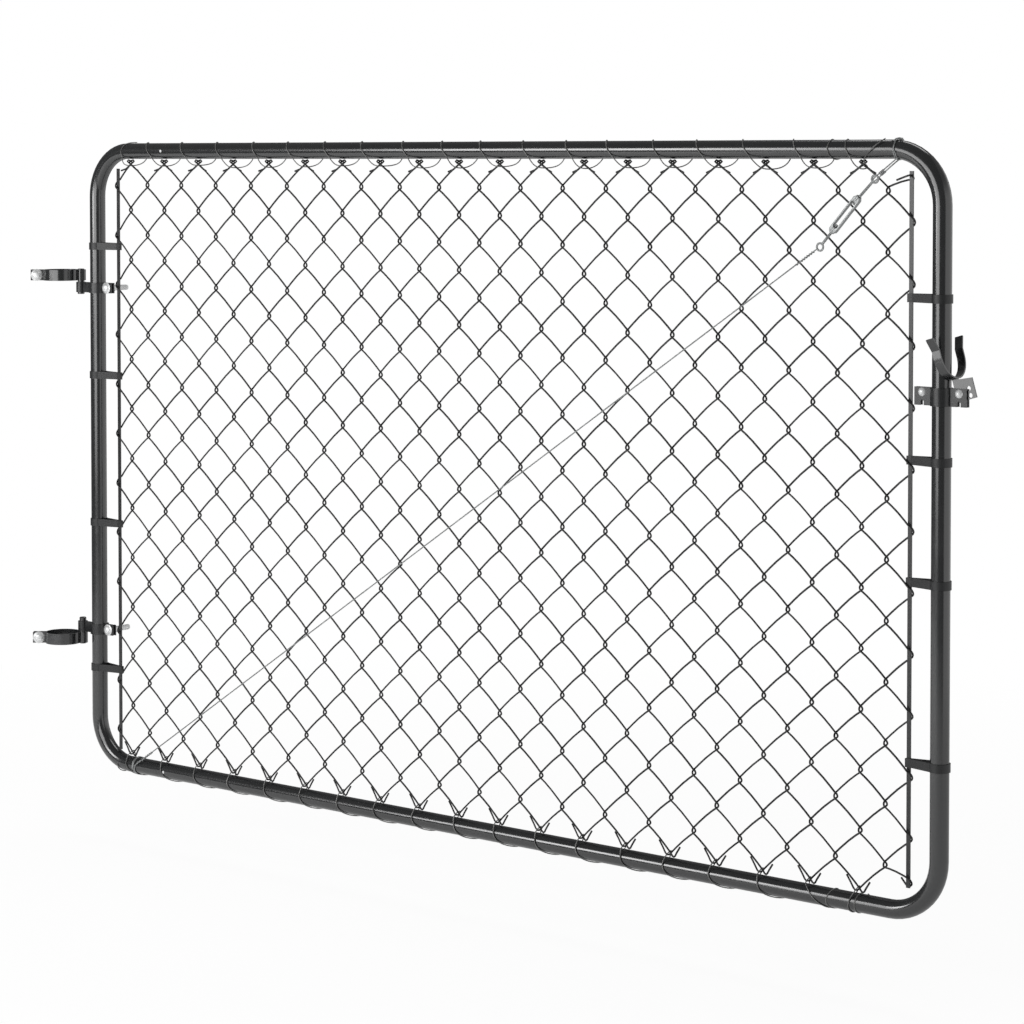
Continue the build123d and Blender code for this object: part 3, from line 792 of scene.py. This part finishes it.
def eye_ring(shape, centre, ring_radius, rod_radius):
    """A bent rod: a round section spun into a ring in the plane of the gate."""
    made = bmesh.ops.create_circle(shape, segments=10, radius=rod_radius)
    bmesh.ops.translate(shape, verts=made["verts"], vec=centre + Vector((ring_radius, 0, 0)))
    edges = list({edge for vert in made["verts"] for edge in vert.link_edges})
    bmesh.ops.spin(
        shape, geom=made["verts"] + edges, cent=centre, axis=(0, 1, 0), dvec=(0, 0, 0), angle=2 * pi,
        steps=28, use_merge=True,
    )


class GATE_OT_turnbuckle(bpy.types.Operator):
    """Make the turnbuckle: body, threaded rods and their eyes"""

    bl_idname = "gate.turnbuckle"
    bl_label = "Turnbuckle"

    def execute(self, context):
        eye, climb = buckle_line()
        depth = Vector((0, 1, 0))
        middle = eye + climb * 66.0 * MM
        length, width, thick, bar = 72 * MM, 13 * MM, 7.5 * MM, 2.6 * MM
        boss_r, boss_l = 4.4 * MM, 10 * MM
        shape = bmesh.new()
        outer = stadium(shape, length, width, -thick / 2)
        inner = stadium(shape, length - 2 * boss_l, width - 2 * bar, -thick / 2)
        ring = bmesh.ops.bridge_loops(shape, edges=outer + inner)
        grown = bmesh.ops.extrude_face_region(shape, geom=ring["faces"])
        verts = [item for item in grown["geom"] if isinstance(item, bmesh.types.BMVert)]
        bmesh.ops.translate(shape, verts=verts, vec=(0, 0, thick))
        bmesh.ops.recalc_face_normals(shape, faces=shape.faces)
        rims = [e for e in shape.edges if len(e.link_faces) == 2 and e.calc_face_angle(0) > radians(60)]
        bmesh.ops.bevel(
            shape, geom=rims, offset=0.8 * MM, segments=2, affect="EDGES", profile=0.5, material=-1
        )
        lay_along(shape, middle, climb, depth)
        for end in (-1, 1):
            start = middle + climb * end * (length / 2 - boss_l / 2) - climb * boss_l / 2
            round_bar(shape, start, climb, boss_l + 0.4 * MM, boss_r, 16, 0.5 * MM)
        place_piece(mesh_piece("turnbuckle_frame", shape), "gate", "galvanised_steel", ["turnbuckle_body"])
        hook = hook_place(eye)
        for name, centre, target, node in (
            ("lower_eye_rod", eye, middle - climb * (length / 2 - boss_l), "turnbuckle_eye"),
            ("upper_eye_rod", hook, middle + climb * (length / 2 - boss_l), "turnbuckle_hook"),
        ):
            way = (target - centre).normalized()
            shape = bmesh.new()
            eye_ring(shape, centre, 5.6 * MM, 1.6 * MM)
            foot = centre + way * 6.4 * MM
            reach = (target - foot).length + 5 * MM
            round_bar(shape, foot, way, reach, 2.0 * MM, 14, 0.4 * MM)
            threaded_rod(shape, foot + way * 5 * MM, way, reach - 6 * MM, 2.0 * MM, 1.25 * MM)
            place_piece(mesh_piece(name, shape), "gate", "galvanised_steel", [node])
        return {"FINISHED"}


def bolt_line(nut, post):
    """The middle of a nut and the direction in which its bolt points to the back."""
    centre = box_middle(nut)
    if not post:
        return centre, Vector((0, 1, 0))
    to_pin = box_middle("hinge_pin_lower")
    to_pin.z = 0
    to_pin.normalize()
    return centre, Vector((-to_pin.y, to_pin.x, 0))


class GATE_OT_fasteners(bpy.types.Operator):
    """Cut the bolt threads, form the bolt heads and set the rivets of the rail joints"""

    bl_idname = "gate.fasteners"
    bl_label = "Threads, heads and rivets"

    def execute(self, context):
        for level in ("lower", "upper"):
            self.add_bolt("post", level, POST_BOLT, "post_fittings")
            self.add_bolt("gate", level, GATE_BOLT, "gate")
        for place in ("inner", "pivot"):
            self.add_bolt("latch", place, LATCH_BOLT, "gate")
        joint_x = (hinge_side[1][0] + latch_side[0][0]) / 2
        for name, rail_z in (("rail_rivet_top", high_rail_z), ("rail_rivet_bottom", low_rail_z)):
            self.add_rivet(name, Vector((joint_x, gate_y - tube_r, rail_z)))
        return {"FINISHED"}

    def add_bolt(self, fitting, place, bolt, body):
        """The stepped rings of one bolt's head, and the ridges of its thread behind the nut."""
        centre, along = bolt_line(f"{fitting}_nut_{place}", fitting == "post")
        seat = centre - along * (bolt.nut_height / 2 + bolt.grip) * MM
        radius, height = bolt.head_radius, bolt.head_height
        outline = (
            (radius, 0.0), (radius, 0.7), (radius - 0.5, 1.1), (radius * 0.74, 2.0), (radius * 0.7, 3.1),
            (radius * 0.5, height - 0.6), (radius * 0.3, height - 0.1), (0.0, height),
        )
        shape = bmesh.new()
        across = along.orthogonal().normalized()
        verts = [shape.verts.new(seat + across * out * MM - along * high * MM) for out, high in outline]
        edges = [shape.edges.new(pair) for pair in zip(verts, verts[1:])]
        bmesh.ops.spin(
            shape, geom=verts + edges, cent=seat, axis=along, dvec=(0, 0, 0), angle=2 * pi, steps=36,
            use_merge=True,
        )
        place_piece(mesh_piece(f"{fitting}_bolt_head_{place}", shape), body, "zinc_plate")
        shape = bmesh.new()
        nut_back = centre + along * bolt.nut_height / 2 * MM
        length = (bolt.thread - 0.6) * MM
        threaded_rod(shape, nut_back, along, length, bolt.radius * MM, bolt.pitch * MM)
        place_piece(mesh_piece(f"{fitting}_bolt_thread_{place}", shape), body, "zinc_plate")

    def add_rivet(self, name, place):
        """A low domed rivet head on the front of the rail."""
        shape = bmesh.new()
        bmesh.ops.create_uvsphere(shape, u_segments=20, v_segments=12, radius=2.7 * MM)
        bmesh.ops.bisect_plane(
            shape, geom=shape.verts[:] + shape.edges[:] + shape.faces[:], plane_co=(0, 0.6 * MM, 0),
            plane_no=(0, 1, 0), clear_outer=True,
        )
        rim = [edge for edge in shape.edges if edge.is_boundary]
        bmesh.ops.holes_fill(shape, edges=rim)
        bmesh.ops.scale(shape, verts=shape.verts, vec=(1.0, 0.55, 1.0))
        bmesh.ops.translate(shape, verts=shape.verts, vec=place)
        place_piece(mesh_piece(name, shape), "gate", "zinc_plate")


class GATE_OT_stage(bpy.types.Operator):
    """Set up the pale floor, the soft light and the camera"""

    bl_idname = "gate.stage"
    bl_label = "Stage"

    def execute(self, context):
        scene = context.scene
        scene.view_settings.view_transform = "Standard"
        self.add_floor(scene)
        self.set_world(scene)
        self.add_lamps(scene)
        self.add_camera(scene)
        return {"FINISHED"}

    def add_floor(self, scene):
        """A round pale floor a little below the gate, with the white world beyond its edge."""
        shape = bmesh.new()
        bmesh.ops.create_circle(shape, cap_ends=True, segments=96, radius=FLOOR_RADIUS)
        bmesh.ops.translate(shape, vec=FLOOR_MIDDLE, verts=shape.verts)
        mesh = bpy.data.meshes.new("floor")
        shape.to_mesh(mesh)
        shape.free()
        floor = bpy.data.objects.new("floor", mesh)
        scene.collection.objects.link(floor)
        floor.data.materials.append(floor_paper(scene.gate_colours))

    def set_world(self, scene):
        """White to the camera, a plain level of light on the object, and a dim room in its gloss."""
        world = bpy.data.worlds.new("studio")
        world.use_nodes = True
        tree = world.node_tree
        tree.nodes.clear()
        rays = add_node(tree, "ShaderNodeLightPath").outputs
        seen = add_node(
            tree, "ShaderNodeMath", {0: rays["Is Camera Ray"], 1: rays["Is Transmission Ray"]},
            operation="MAXIMUM",
        )
        lit = add_node(tree, "ShaderNodeBackground", {"Color": (1.0, 1.0, 1.0, 1.0), "Strength": 0.65})
        room = add_node(
            tree, "ShaderNodeBackground", {"Color": (1.0, 1.0, 1.0, 1.0), "Strength": self.room_level(tree)}
        )
        white = add_node(tree, "ShaderNodeBackground", {"Color": (1.0, 1.0, 1.0, 1.0), "Strength": 1.0})
        object_light = add_node(
            tree, "ShaderNodeMixShader",
            {0: rays["Is Glossy Ray"], 1: lit.outputs["Background"], 2: room.outputs["Background"]},
        )
        mixed = add_node(
            tree, "ShaderNodeMixShader",
            {0: seen.outputs[0], 1: object_light.outputs["Shader"], 2: white.outputs["Background"]},
        )
        add_node(tree, "ShaderNodeOutputWorld", {"Surface": mixed.outputs["Shader"]})
        scene.world = world

    def room_level(self, tree):
        """What gloss shows of the studio: white paper behind, at the right, and a dim room elsewhere."""
        way = add_node(tree, "ShaderNodeTexCoord").outputs["Generated"]
        parts = add_node(tree, "ShaderNodeSeparateXYZ", {0: way}).outputs
        to_paper = add_node(
            tree, "ShaderNodeVectorMath", {0: way, 1: (0.8, 0.6, 0.0)}, operation="DOT_PRODUCT"
        )
        behind = add_node(
            tree, "ShaderNodeMapRange",
            {
                "Value": to_paper.outputs["Value"], "From Min": 0.42, "From Max": 0.54,
                "To Min": 0.1, "To Max": 1.0,
            },
            interpolation_type="SMOOTHSTEP",
        )
        above = add_node(
            tree, "ShaderNodeMapRange",
            {"Value": parts["Z"], "From Min": 0.15, "From Max": 0.6, "To Min": 1.0, "To Max": 0.3},
            interpolation_type="SMOOTHSTEP",
        )
        level = add_node(
            tree, "ShaderNodeMath", {0: behind.outputs["Result"], 1: above.outputs["Result"]},
            operation="MULTIPLY",
        )
        dim = add_node(tree, "ShaderNodeMath", {0: level.outputs[0], 1: 0.17}, operation="MAXIMUM")
        return dim.outputs[0]

    def add_lamps(self, scene):
        """Two soft panels side by side in front of the gate and a weak one high up behind."""
        for panel in LAMPS:
            lamp = bpy.data.lights.new(panel.name, "AREA")
            lamp.shape = "RECTANGLE"
            lamp.size = panel.width
            lamp.size_y = panel.height
            lamp.energy = panel.power
            holder = bpy.data.objects.new(panel.name, lamp)
            holder.location = panel.place
            aim = Vector((panel.place[0], gate_y, panel.aim_z))
            holder.rotation_euler = (aim - Vector(panel.place)).to_track_quat("-Z", "Y").to_euler()
            scene.collection.objects.link(holder)

    def add_camera(self, scene):
        """The photograph's viewing angle."""
        camera = bpy.data.cameras.new("camera")
        camera.sensor_fit = "HORIZONTAL"
        camera.sensor_width = 36.0
        camera.lens = CAMERA_LENS
        camera.shift_y = CAMERA_SHIFT_Y
        camera.clip_end = 200.0
        holder = bpy.data.objects.new("camera", camera)
        holder.location = CAMERA_PLACE
        holder.rotation_euler = (radians(90 - CAMERA_DOWN), 0.0, radians(CAMERA_TURN))
        scene.collection.objects.link(holder)
        scene.camera = holder


def floor_paper(colours):
    """White studio paper: matt, and white where it is seen, with the object's shadow kept."""
    material, tree = new_material("matt_white_paper")
    fibre = noise(tree, 40.0, 2.0)
    colour = surface_ramp(tree, fibre, 0.0, 1.0, shade(colours.floor, 0.99), colours.floor)
    paper = add_node(tree, "ShaderNodeBsdfDiffuse", {"Color": colour})
    glow = add_node(tree, "ShaderNodeEmission", {"Color": (1.0, 1.0, 1.0, 1.0), "Strength": 1.0})
    rays = add_node(tree, "ShaderNodeLightPath").outputs
    place = add_node(tree, "ShaderNodeTexCoord").outputs["Object"]
    away = add_node(tree, "ShaderNodeVectorMath", {0: place, 1: FLOOR_MIDDLE}, operation="DISTANCE")
    bare = add_node(
        tree, "ShaderNodeMapRange",
        {"Value": away.outputs["Value"], "From Min": 0.9, "From Max": 2.6, "To Min": 0.9, "To Max": 1.0},
    )
    share = add_node(
        tree, "ShaderNodeMath", {0: rays["Is Camera Ray"], 1: bare.outputs[0]}, operation="MULTIPLY"
    )
    mixed = add_node(
        tree, "ShaderNodeMixShader",
        {0: share.outputs[0], 1: paper.outputs["BSDF"], 2: glow.outputs["Emission"]},
    )
    finish_surface(tree, mixed.outputs["Shader"])
    return material


class GATE_OT_finishes(bpy.types.Operator):
    """Give every solid piece of the gate its finish"""

    bl_idname = "gate.finishes"
    bl_label = "Finishes"

    def execute(self, context):
        slots = {part["node"]: part["material_slot"] for part in frame["record"]["subparts"]}
        for name, node in frame["nodes"].items():
            node.data.materials.clear()
            slot = slots[name]
            if name.startswith("tension_band"):
                slot = "band_coat"
            elif name.startswith(("tension_bar_", "latch_clamp", "gate_hinge")):
                slot = "strap_coat"
            node.data.materials.append(finish_named(slot))
        return {"FINISHED"}


class GATE_PT_panel(bpy.types.Panel):
    """Sidebar panel that lists the gate's sizes, colours and steps"""

    bl_idname = "GATE_PT_panel"
    bl_label = "Chain link gate"
    bl_space_type = "VIEW_3D"
    bl_region_type = "UI"
    bl_category = "Gate"

    def draw(self, context):
        for group in (context.scene.gate_sizes, context.scene.gate_colours):
            column = self.layout.column()
            for name in group.__annotations__:
                column.prop(group, name)
        for operator in steps:
            self.layout.operator(operator.bl_idname)


steps = (
    GATE_OT_finishes,
    GATE_OT_fabric,
    GATE_OT_lacing,
    GATE_OT_cable,
    GATE_OT_loops,
    GATE_OT_turnbuckle,
    GATE_OT_fasteners,
    GATE_OT_stage,
)
classes = (GateSizes, GateColours, *steps, GATE_PT_panel)


def register():
    """Add the gate's classes and its settings to Blender."""
    for cls in classes:
        bpy.utils.register_class(cls)
    bpy.types.Scene.gate_sizes = PointerProperty(type=GateSizes)
    bpy.types.Scene.gate_colours = PointerProperty(type=GateColours)


def unregister():
    """Take the gate's classes and its settings out again."""
    del bpy.types.Scene.gate_colours
    del bpy.types.Scene.gate_sizes
    for cls in reversed(classes):
        bpy.utils.unregister_class(cls)


def main():
    """Dress the gate and set the stage."""
    register()
    bpy.ops.gate.finishes()
    bpy.ops.gate.fabric()
    bpy.ops.gate.lacing()
    bpy.ops.gate.cable()
    bpy.ops.gate.loops()
    bpy.ops.gate.turnbuckle()
    bpy.ops.gate.fasteners()
    bpy.ops.gate.stage()


if __name__ == "__main__":
    main()
